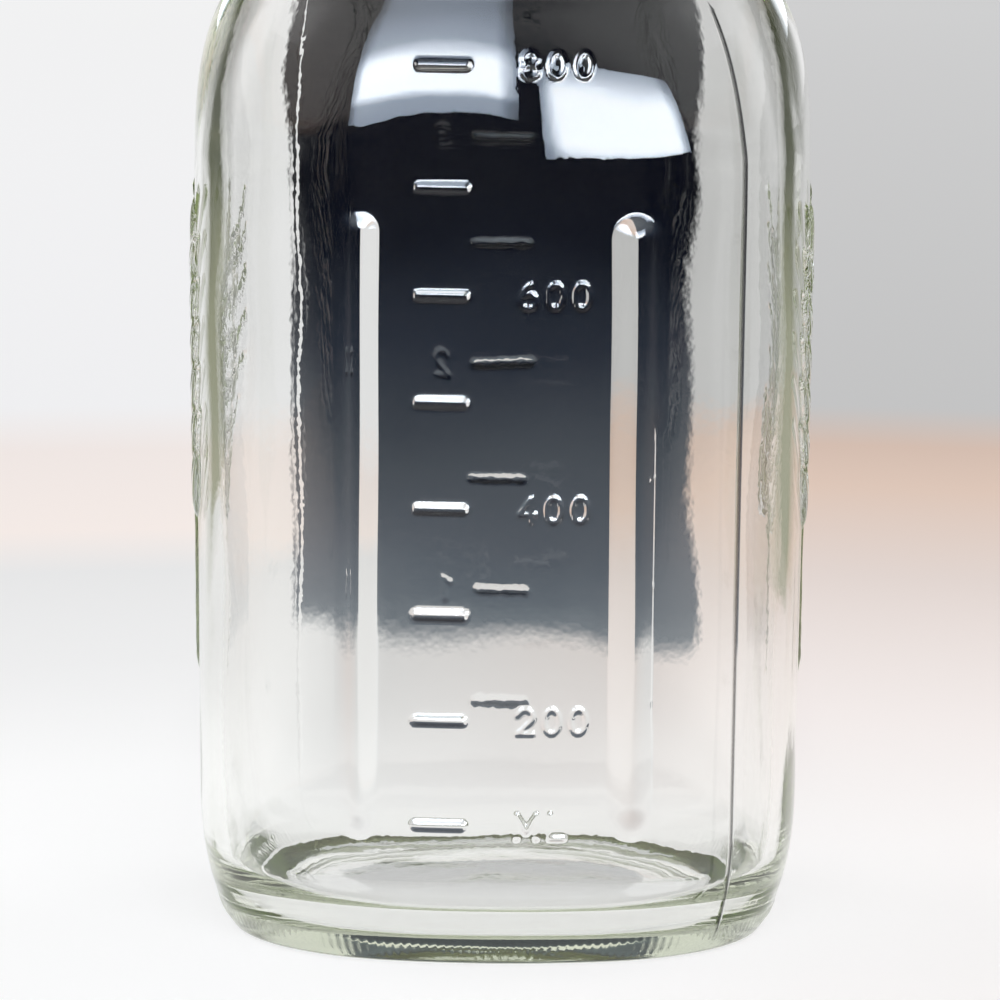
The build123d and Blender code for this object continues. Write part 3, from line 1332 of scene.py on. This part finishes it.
@dataclass
class FlatLid:
    """The flat tinplate disc: panel with a button and rings, channel and turned hem."""

    top: float
    radius: float = 42.0 * MM
    channel_radius: float = 37.2 * MM
    sheet: float = 0.3 * MM
    panel_drop: float = 0.65 * MM
    panel_rows: int = 56
    hem_depth: float = 1.1 * MM
    hem_round: float = 0.15 * MM
    edge_round: float = 0.6 * MM
    button_radius: float = 9.0 * MM
    button_rise: float = 0.3 * MM
    ring_radii: tuple[float, ...] = (15.0 * MM, 24.0 * MM, 33.0 * MM)
    ring_half_width: float = 1.1 * MM
    ring_rise: float = 0.28 * MM
    steps: int = 200

    def panel_rise(self, radius: float) -> float:
        """Height of the panel's button and rings over the sunk panel.

        Args:
            radius: Distance from the middle.

        Returns:
            The height there.
        """
        place = np.array(radius)
        button = 1.0 - smooth_step(place, self.button_radius * 0.7, self.button_radius * 1.25)
        rise = self.button_rise * float(button)
        for ring in self.ring_radii:
            rise += self.ring_rise * float(ridge(place - ring, self.ring_half_width, 1.5))
        return rise

    def upper_profile(self) -> Profile:
        """Lays out the upper side, from the middle over the panel and the channel to the hem.

        Returns:
            Radius and height points.
        """
        panel, channel = self.top - self.panel_drop, self.channel_radius
        end = channel - 1.0 * MM
        radii = [end * step / self.panel_rows for step in range(self.panel_rows + 1)]
        points = [(radius, panel + self.panel_rise(radius)) for radius in radii]
        points.append((channel - 0.6 * MM, panel + 0.1 * MM))
        points.append((channel - 0.15 * MM, self.top - 0.12 * MM))
        points += [(channel + 0.3 * MM, self.top), (self.radius - 1.6 * MM, self.top)]
        edge = (self.radius - self.edge_round, self.top - self.edge_round)
        points += arc(edge, self.edge_round, 90, 0, 5)
        return points

    def lower_profile(self, upper: Profile) -> Profile:
        """Lays out the under side, one sheet below the upper side.

        Args:
            upper: The upper side's points.

        Returns:
            Radius and height points, from the hem to the middle.
        """
        points = []
        for radius, height in reversed(upper):
            set_in = self.sheet * (radius > self.radius - 1.2 * MM)
            points.append((max(radius - set_in, 0.0), height - self.sheet))
        inner_edge = self.radius - self.sheet + MM / 100
        return [point for point in points if point[0] < inner_edge]

    def build(self, material: bpy.types.Material) -> bpy.types.Object:
        """Builds the disc as one closed sheet.

        Args:
            material: Its finish.

        Returns:
            The lid.
        """
        upper = self.upper_profile()
        foot = self.top - self.hem_depth
        hem = [
            (self.radius, foot + self.hem_round),
            (self.radius - self.sheet / 2, foot),
            (self.radius - self.sheet, foot + self.hem_round),
        ]
        bm = spun(upper + hem + self.lower_profile(upper), self.steps)
        return finished("flat_lid", bm, material)


@dataclass
class SealRing:
    """The ring of sealing compound in the lid's channel."""

    foot: float
    height: float = 0.8 * MM
    inner: float = 37.6 * MM
    outer: float = 41.6 * MM
    edge: float = 0.3 * MM
    flat_margin: float = 0.9 * MM
    row_step: float = 0.5 * MM
    steps: int = 160

    def build(self, material: bpy.types.Material) -> bpy.types.Object:
        """Builds the ring.

        Args:
            material: Its finish.

        Returns:
            The seal.
        """
        top = self.foot + self.height
        points = arc((self.inner + self.edge, self.foot + self.edge), self.edge, 180, 270, 4)
        flat_end = (self.outer - self.flat_margin, self.foot)
        points += line((self.inner + self.flat_margin, self.foot), flat_end, self.row_step)
        points += arc((self.outer - self.edge, self.foot + self.edge), self.edge, 270, 360, 4)
        points += [(self.outer, top), (self.inner, top)]
        return finished("seal_ring", spun(points, self.steps), material)


@dataclass
class ScrewBand:
    """The screw band: curled opening, flange, knurled skirt with its thread, rolled edge."""

    top: float
    foot: float
    inner_radius: float = 43.2 * MM
    sheet: float = 0.4 * MM
    opening: float = 38.0 * MM
    corner: float = 1.6 * MM
    roll: float = 0.95 * MM
    knurls: int = 72
    knurl_steps: int = 6
    knurl_proud: float = 0.35 * MM
    knurl_height: float = 4.6 * MM
    knurl_drop: float = 1.9 * MM
    knurl_fade: float = 0.7 * MM
    knurl_sharpness: float = 1.3
    groove_depth: float = 0.75 * MM
    groove_half_width: float = 1.15 * MM
    groove_turns: float = 1.2
    row_step: float = 0.45 * MM
    flange_step: float = 0.9 * MM

    def profile(self) -> Profile:
        """Lays out the sheet: over the flange, down outside, round the roll and up inside.

        Returns:
            Radius and height points of the closed outline.
        """
        inner, outer = self.inner_radius, self.inner_radius + self.sheet
        under, lip = self.top - self.sheet, self.sheet / 2
        curl_end = self.opening + 2 * lip
        roll_level = self.foot + self.roll
        bend = self.corner - self.sheet
        points = arc((self.opening + lip, self.top - lip), lip, 270, 90, 6)
        points += line((curl_end, self.top), (outer - self.corner, self.top), self.flange_step)
        points += arc((outer - self.corner, self.top - self.corner), self.corner, 90, 0, 7)
        skirt_top = (outer, self.top - self.corner - self.row_step)
        points += line(skirt_top, (outer, roll_level + self.roll * 0.8), self.row_step)
        points += arc((inner + self.roll, roll_level), self.roll, 118, -180, 16)
        skirt_foot = (inner, roll_level + self.row_step)
        points += line(skirt_foot, (inner, under - self.corner), self.row_step)
        points += arc((inner - bend, under - bend), bend, 0, 90, 5)
        flange_end = (inner - bend - 0.6 * MM, under)
        points += line(flange_end, (curl_end, under), self.flange_step)
        return points

    def groove(self, glass: JarGlass) -> ThreadRidge:
        """The thread rolled into the skirt, which lies under the glass thread.

        Args:
            glass: The jar whose thread it follows.

        Returns:
            Its ridge, which is pressed inwards.
        """
        top = glass.form.height - glass.thread_drop - glass.thread_pitch / 2
        return ThreadRidge(
            top, glass.thread_pitch, self.groove_turns, self.groove_half_width, power=1.0, fade=0.08
        )

    def build(self, material: bpy.types.Material, glass: JarGlass) -> bpy.types.Object:
        """Builds the band.

        Args:
            material: Its finish.
            glass: The jar whose thread the band follows.

        Returns:
            The band.
        """
        bm = spun(self.profile(), self.knurls * self.knurl_steps)
        piece = finished("screw_cap_band", bm, material)
        places = vertex_array(piece.data)
        angle = np.arctan2(places[:, 1], places[:, 0])
        height, radius = places[:, 2], np.hypot(places[:, 0], places[:, 1])
        skirt = smooth_step(radius, self.inner_radius - 0.5 * MM, self.inner_radius - 0.1 * MM)
        skirt *= height > self.foot + 2 * self.roll
        knurl_top = self.top - self.knurl_drop
        knurl_foot = knurl_top - self.knurl_height
        band = smooth_step(height, knurl_foot, knurl_foot + self.knurl_fade)
        band *= 1.0 - smooth_step(height, knurl_top - self.knurl_fade, knurl_top)
        wave = (0.5 + 0.5 * np.cos(self.knurls * angle)) ** self.knurl_sharpness
        pressed = self.groove_depth * self.groove(glass).heights(angle, height)
        radius = radius + skirt * (self.knurl_proud * band * wave - pressed)
        places[:, 0], places[:, 1] = radius * np.cos(angle), radius * np.sin(angle)
        move_vertices(piece.data, places)
        return piece


@dataclass(frozen=True)
class SoftBox:
    """A soft lamp as seen from the jar: bearing, rise, width and height in degrees."""

    name: str
    bearing: float
    rise: float
    width: float
    height: float
    radiance: float
    distance: float = 2.4

    def span(self, degrees: float) -> float:
        """Length at the lamp's distance that is seen under an angle."""
        return 2 * self.distance * math.tan(math.radians(degrees / 2))

    def hang(self, target: Vector) -> None:
        """Makes the lamp; the camera and what is seen through the glass leave it out.

        Args:
            target: The point that it is aimed at.
        """
        wide, high = self.span(self.width), self.span(self.height)
        data = bpy.data.lights.new(self.name, "AREA")
        data.shape = "RECTANGLE"
        data.size, data.size_y = wide, high
        data.energy = self.radiance * math.pi * wide * high
        lamp = bpy.data.objects.new(self.name, data)
        away = towards(self.bearing, self.rise)
        spot = Matrix.Translation(away * self.distance + target)
        lamp.matrix_world = spot @ (-away).to_track_quat("-Z", "Y").to_matrix().to_4x4()
        hide_from(lamp, "camera", "glossy", "transmission")
        bpy.context.scene.collection.objects.link(lamp)


@dataclass(frozen=True)
class Window:
    """A window of the room that shows only as a mirror image, as in the jar's shoulder.

    Its four corners are bearings and rises in degrees as seen from the jar, from the lower left
    round; its levels are radiances from its sill to its head.
    """

    name: str
    corners: tuple[Point, Point, Point, Point]
    levels: tuple[Point, ...]
    edge_share: float = 0.13
    jamb_level: float = 0.35
    distance: float = 2.4
    white: Colour = (0.88, 0.94, 1.0)
    edge_colour: Colour = (0.62, 0.74, 0.92)

    def material(self) -> bpy.types.Material:
        """Builds the glow: levels from the sill up, softer and bluer by the jambs.

        Returns:
            The material.
        """
        material = bpy.data.materials.new(self.name)
        nodes = NodeTree(material)
        apart = nodes.parts(nodes.coordinates("UV"))
        top = max(level for _, level in self.levels)
        stops = [(share, (level / top,) * 3) for share, level in self.levels]
        climb = nodes.ramp(apart["Y"], stops)
        jamb = nodes.calc("MINIMUM", apart["X"], nodes.calc("SUBTRACT", 1.0, apart["X"]))
        inside = nodes.eased(jamb, 0.0, self.edge_share, self.jamb_level)
        full = nodes.calc("MULTIPLY", climb, inside)
        colour = nodes.ramp(full, ((0.3, self.edge_colour), (0.95, self.white)))
        strength = nodes.calc("MULTIPLY", full, top)
        glow = nodes.add("Emission", {"Color": colour, "Strength": strength})
        nodes.output("OutputMaterial", glow.outputs[0])
        return material

    def hang(self, target: Vector) -> None:
        """Makes the glowing pane.

        Args:
            target: The point that its corners are seen from.
        """
        bm = bmesh.new()
        bm.loops.layers.uv.new("pane")
        made = bmesh.ops.create_grid(bm, x_segments=1, y_segments=1, size=0.5, calc_uvs=True)
        lower_left, lower_right, upper_right, upper_left = self.corners
        by_rows = (lower_left, lower_right, upper_left, upper_right)
        for vert, corner in zip(made["verts"], by_rows):
            vert.co = towards(*corner) * self.distance + target
        pane = finished(self.name, bm, self.material())
        hide_from(pane, "camera", "transmission", "diffuse", "shadow")


@dataclass(frozen=True)
class Card:
    """An upright card that only the glass and the metal show, as glassware is lit.

    It stands on the floor at a place, may be turned about the upright, and its tones go by height.
    """

    name: str
    place: Point
    width: float
    height: float
    tones: Tones
    turn_degrees: float = 0.0
    soft_edge: float = 4.0 * MM
    soft_foot: float = 6.0 * MM
    deepest_ray: float = 5.5

    def material(self) -> bpy.types.Material:
        """Builds the tones, faded at the sides and the foot and left out of deep reflections.

        Returns:
            The material.
        """
        material = bpy.data.materials.new(self.name)
        nodes = NodeTree(material)
        height = nodes.parts(nodes.coordinates("Object"))["Z"]
        reach = self.tones[-1][0]
        climb = nodes.mapped(height, 0.0, reach)
        colour = nodes.ramp(climb, [(level / reach, tone) for level, tone in self.tones])
        glow = nodes.add("Emission", {"Color": colour, "Strength": 1.0})
        share = nodes.parts(nodes.coordinates("UV"))["X"]
        inward = nodes.calc("MINIMUM", share, nodes.calc("SUBTRACT", 1.0, share))
        side = nodes.eased(inward, 0.0, self.soft_edge / self.width)
        edged = nodes.calc("MULTIPLY", side, nodes.eased(height, 0.0, self.soft_foot))
        depth = nodes.add("LightPath").outputs["Ray Depth"]
        shown = nodes.calc("MULTIPLY", edged, nodes.calc("LESS_THAN", depth, self.deepest_ray))
        clear = nodes.add("BsdfTransparent")
        mixed = nodes.add("MixShader", {0: shown, 1: clear.outputs[0], 2: glow.outputs[0]})
        nodes.output("OutputMaterial", mixed.outputs[0])
        return material

    def stand(self) -> None:
        """Makes the card."""
        bm = bmesh.new()
        bm.loops.layers.uv.new("card")
        bmesh.ops.create_grid(bm, x_segments=1, y_segments=1, size=0.5, calc_uvs=True)
        upright = Matrix.Rotation(math.pi / 2, 3, "X")
        bmesh.ops.rotate(bm, verts=bm.verts, cent=ORIGIN, matrix=upright)
        bmesh.ops.scale(bm, verts=bm.verts, vec=(self.width, 1.0, self.height))
        turned = Matrix.Rotation(math.radians(self.turn_degrees), 3, "Z")
        bmesh.ops.rotate(bm, verts=bm.verts, cent=ORIGIN, matrix=turned)
        bmesh.ops.translate(bm, verts=bm.verts, vec=(*self.place, self.height / 2))
        card = finished(self.name, bm, self.material())
        hide_from(card, "camera", "diffuse", "shadow")


DARK_CARD_TONES: Tones = (
    (0.0, (0.34, 0.37, 0.4)),
    (0.005, (0.16, 0.19, 0.22)),
    (0.01, (0.115, 0.14, 0.17)),
    (0.021, (0.1, 0.116, 0.142)),
    (0.04, (0.068, 0.08, 0.098)),
    (0.06, (0.019, 0.025, 0.04)),
    (0.08, (0.0015, 0.003, 0.009)),
    (0.095, (0.0003, 0.001, 0.005)),
)
OLIVE_TONES: Tones = (
    (0.0, (0.36, 0.37, 0.28)),
    (0.06, (0.27, 0.28, 0.19)),
    (0.085, (0.13, 0.14, 0.09)),
    (0.12, (0.06, 0.068, 0.04)),
    (0.2, (0.05, 0.055, 0.035)),
)
FAR_TONES: Tones = ((0.0, (0.1, 0.1, 0.09)), (0.2, (0.03, 0.03, 0.03)))
FLAG = (0.3, 0.4, OLIVE_TONES, 0.0, 80.0 * MM, 10.0 * MM)
FAR_FLAG = (0.34, 0.4, FAR_TONES, 90.0, 90.0 * MM, 60.0 * MM)
BACK_LEVELS = ((0.0, 5.0), (1.0, 3.0))


@dataclass(frozen=True)
class Studio:
    """The pale floor, the room's even light, lamps, windows and cards, and the camera.

    The floor's tones go by distance from the jar, on its left and on its right. What the glass and
    the metal show of the room's front is dimmed, because the camera's side of the room is dark.
    """

    camera_distance: float = 0.8824
    camera_height: float = 0.18472
    pitch_degrees: float = 7.81
    roll_degrees: float = 0.44
    focal_length_mm: float = 208.9
    camera_clip: tuple[float, float] = (0.05, 50.0)
    floor_reach: float = 6.0
    floor_drop: float = 0.2 * MM
    floor_albedo: float = 0.36
    floor_lift: float = 0.71
    side_blend: float = 0.05
    # The left tones hold a grey band of painted shade; the right tones are darker with painted
    # shadow, besides their warm tint.
    left_tones_with_painted_shade: Tones = (
        (0.13, (1.0, 1.0, 1.0)),
        (0.24, (0.88, 0.88, 0.88)),
        (0.36, (0.81, 0.81, 0.81)),
        (0.42, (0.92, 0.84, 0.8)),
        (0.56, (0.88, 0.81, 0.78)),
        (0.65, (0.88, 0.88, 0.89)),
        (2.7, (1.0, 1.0, 1.0)),
    )
    right_tones_with_painted_shadow: Tones = (
        (0.02, (1.0, 1.0, 1.0)),
        (0.19, (0.92, 0.86, 0.84)),
        (0.36, (0.77, 0.68, 0.64)),
        (0.5, (0.74, 0.58, 0.49)),
        (0.58, (0.67, 0.52, 0.44)),
        (0.66, (0.56, 0.56, 0.56)),
        (2.7, (0.71, 0.71, 0.71)),
    )
    room_light: float = 0.55
    far_colour: Colour = (0.86, 0.86, 0.87)
    overhead_colour: Colour = (0.6, 0.61, 0.64)
    overhead_climb: float = 0.85
    glass_bounces: int = 128
    floor_dim: tuple[float, float] = (-0.02, -0.4)
    room_dim: tuple[float, float] = (0.25, -0.15)
    mirrored_dim_share: float = 0.985
    seen_dim_share: float = 0.3
    card_shadow: float = 0.16
    shadow_sides: tuple[float, float] = (0.062, 0.03)
    shadow_reach: tuple[float, float] = (0.19, 0.04)
    target_height: float = 0.1
    cards: tuple[Card, ...] = (
        Card("dark_card", (-0.003, 0.241), 0.115, 0.21, DARK_CARD_TONES),
        Card("left_flag", (-0.29, 0.241), *FLAG),
        Card("right_flag", (0.29, 0.241), *FLAG),
        Card("far_left_flag", (-0.5, 0.02), *FAR_FLAG),
        Card("far_right_flag", (0.5, 0.02), *FAR_FLAG),
    )
    soft_boxes: tuple[SoftBox, ...] = (
        SoftBox("front_lamp", 8.0, 32.0, 50.0, 36.0, 2.2),
        SoftBox("left_lamp", -110.0, 35.0, 40.0, 36.0, 1.8),
        SoftBox("right_lamp", 120.0, 35.0, 40.0, 36.0, 1.5),
    )
    windows: tuple[Window, ...] = (
        Window(
            "left_window",
            ((-44.7, 12.3), (2.8, 4.7), (4.5, 58.0), (-66.0, 52.0)),
            ((0.0, 9.0), (0.08, 10.0), (0.13, 25.0), (0.34, 26.0), (0.5, 10.0), (1.0, 3.0)),
        ),
        Window(
            "right_window",
            ((9.4, -1.0), (59.6, 9.3), (56.4, 24.5), (10.3, 22.8)),
            ((0.0, 17.0), (0.12, 25.0), (0.6, 24.0), (0.85, 14.0), (1.0, 9.0)),
        ),
        Window(
            "back_left",
            ((146.0, 8.0), (170.0, 5.0), (170.0, 32.0), (146.0, 30.0)),
            BACK_LEVELS,
        ),
        Window(
            "back_right",
            ((-176.0, 4.0), (-152.0, 6.0), (-152.0, 30.0), (-176.0, 32.0)),
            BACK_LEVELS,
        ),
    )

    def camera(self) -> None:
        """Makes the scene's camera."""
        data = bpy.data.cameras.new("photo_camera")
        data.lens = self.focal_length_mm
        data.clip_start, data.clip_end = self.camera_clip
        camera = bpy.data.objects.new("photo_camera", data)
        tilt = Matrix.Rotation(math.radians(90 - self.pitch_degrees), 4, "X")
        roll = Matrix.Rotation(math.radians(self.roll_degrees), 4, "Z")
        place = Matrix.Translation((0.0, -self.camera_distance, self.camera_height))
        camera.matrix_world = place @ tilt @ roll
        bpy.context.scene.collection.objects.link(camera)
        bpy.context.scene.camera = camera

    @staticmethod
    def ray_share(nodes: NodeTree, *kinds: str) -> Socket:
        """Tells kinds of rays from the others.

        Args:
            nodes: The tree to add to.
            kinds: Names such as Camera or Glossy.

        Returns:
            One for rays of any of the kinds, and zero for others.
        """
        path = nodes.add("LightPath")
        share = path.outputs[f"Is {kinds[0]} Ray"]
        for kind in kinds[1:]:
            share = nodes.calc("MAXIMUM", share, path.outputs[f"Is {kind} Ray"])
        return share

    def dimmed(self, nodes: NodeTree, front: Socket, limits: tuple[float, float]) -> Socket:
        """How much is left of the room's front, as the glass and the metal show it.

        Args:
            nodes: The tree to add to.
            front: A coordinate that falls towards the front.
            limits: Its values where the room starts to get dim and where it is dimmest.

        Returns:
            A factor, which is one for what the camera sees by itself.
        """
        share = nodes.eased(front, *limits)
        path = nodes.add("LightPath").outputs
        turned_back = nodes.calc("SUBTRACT", path["Ray Depth"], path["Transmission Depth"])
        mirrored = nodes.calc("GREATER_THAN", turned_back, 0.5)
        strength = nodes.mapped(mirrored, 0.0, 1.0, self.seen_dim_share, self.mirrored_dim_share)
        shown = nodes.calc("MULTIPLY", strength, self.ray_share(nodes, "Glossy", "Transmission"))
        return nodes.calc("SUBTRACT", 1.0, nodes.calc("MULTIPLY", share, shown))

    def shadow_behind(self, nodes: NodeTree, place: bpy.types.NodeOutputs) -> Socket:
        """How much light is left on the floor near the dark card.

        Args:
            nodes: The tree to add to.
            place: X and Y on the floor.

        Returns:
            A factor, which is one away from the card.
        """
        middle = nodes.eased(nodes.calc("ABSOLUTE", place["X"]), *self.shadow_sides)
        from_card = nodes.calc("SUBTRACT", place["Y"], self.cards[0].place[1])
        gap = nodes.calc("ABSOLUTE", from_card)
        behind = nodes.eased(gap, *self.shadow_reach, 0.0, self.card_shadow)
        return nodes.calc("SUBTRACT", 1.0, nodes.calc("MULTIPLY", middle, behind))

    def floor_tone(self, nodes: NodeTree) -> Socket:
        """The floor's colour, as it goes by place and ray.

        Args:
            nodes: The tree to add to.

        Returns:
            The colour's output.
        """
        place = nodes.coordinates("Object")
        apart = nodes.parts(place)
        away = nodes.add("VectorMath", {0: place}, operation="LENGTH").outputs["Value"]
        reach = self.left_tones_with_painted_shade[-1][0]
        share = nodes.mapped(away, 0.0, reach)
        left, right = [
            nodes.ramp(share, [(far / reach, tone) for far, tone in tones])
            for tones in (self.left_tones_with_painted_shade, self.right_tones_with_painted_shadow)
        ]
        rightward = nodes.eased(apart["X"], -self.side_blend, self.side_blend)
        kept = self.dimmed(nodes, apart["Y"], self.floor_dim)
        shaded = nodes.calc("MULTIPLY", kept, self.shadow_behind(nodes, apart))
        return nodes.scaled(nodes.mixed(rightward, left, right), shaded)

    def floor(self) -> None:
        """Makes the floor: white round the jar, a little warm further off with a grey band of
        painted shade, darker on the right with painted shadow, then pale grey.
        """
        bm = bmesh.new()
        bmesh.ops.create_grid(bm, x_segments=8, y_segments=8, size=self.floor_reach)
        bmesh.ops.translate(bm, verts=bm.verts, vec=(0.0, 0.0, -self.floor_drop))
        material = bpy.data.materials.new("pale_floor")
        nodes = NodeTree(material)
        tone = self.floor_tone(nodes)
        matte = nodes.add("BsdfDiffuse", {"Color": nodes.scaled(tone, self.floor_albedo)})
        seen = self.ray_share(nodes, "Camera", "Glossy", "Transmission")
        strength = nodes.calc("MULTIPLY", seen, self.floor_lift)
        lift = nodes.add("Emission", {"Color": tone, "Strength": strength})
        both = nodes.add("AddShader", {0: matte.outputs[0], 1: lift.outputs[0]})
        nodes.output("OutputMaterial", both.outputs[0])
        floor = finished("floor", bm, material)

    def world(self) -> None:
        """Fills the room with even light, paler by the horizon than overhead."""
        world = bpy.data.worlds.new("soft_room")
        bpy.context.scene.world = world
        nodes = NodeTree(world)
        apart = nodes.parts(nodes.coordinates("Generated"))
        climb = nodes.mapped(apart["Z"], 0.0, self.overhead_climb)
        colour = nodes.ramp(climb, ((0.0, self.far_colour), (1.0, self.overhead_colour)))
        seen = self.ray_share(nodes, "Camera", "Glossy", "Transmission")
        level = nodes.mapped(seen, 0.0, 1.0, self.room_light)
        kept = self.dimmed(nodes, apart["Y"], self.room_dim)
        strength = nodes.calc("MULTIPLY", level, kept)
        light = nodes.add("Background", {"Color": colour, "Strength": strength})
        nodes.output("OutputWorld", light.outputs[0])

    def build(self) -> None:
        """Builds the studio, and lets light turn often enough inside the thick foot's glass."""
        self.camera()
        self.floor()
        self.world()
        for card in self.cards:
            card.stand()
        for light in (*self.soft_boxes, *self.windows):
            light.hang(Vector((0.0, 0.0, self.target_height)))
        scene = bpy.context.scene
        scene.view_settings.view_transform = "Standard"
        for kind in ("max_bounces", "transmission_bounces", "glossy_bounces"):
            setattr(scene.cycles, kind, self.glass_bounces)


def place_piece(piece: bpy.types.Object, node: str, body: str) -> None:
    """Lets a piece stand for its CAD node and ride on its body.

    Args:
        piece: The new piece.
        node: The node that it replaces.
        body: The body that carries it.
    """
    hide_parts(node)
    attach(piece, body)
    log.info("%s: %d faces, stands for %s", piece.name, len(piece.data.polygons), node)


def main() -> None:
    """Builds the jar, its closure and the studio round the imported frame."""
    logging.basicConfig(level=logging.INFO, format="%(message)s")
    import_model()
    Studio().build()
    glass = JarGlass()
    place_piece(glass.build(GlassFinish().material()), "jar_body", "jar")
    lid_plate = TinplateFinish("lid_tinplate", (0.8, 0.79, 0.77), (0.7, 0.69, 0.67))
    band_plate = TinplateFinish(
        "band_tinplate", (0.83, 0.82, 0.8), (0.72, 0.71, 0.69), roughness=0.2
    )
    lid = FlatLid(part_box("lid_disc")[1].z)
    seal = SealRing(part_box("lid_seal")[0].z)
    band_low, band_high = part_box("screw_band")
    band = ScrewBand(band_high.z, band_low.z)
    place_piece(lid.build(lid_plate.material()), "lid_disc", "lid")
    place_piece(seal.build(CompoundFinish().material()), "lid_seal", "lid")
    place_piece(band.build(band_plate.material(), glass), "screw_band", "band")


if __name__ == "__main__":
    main()
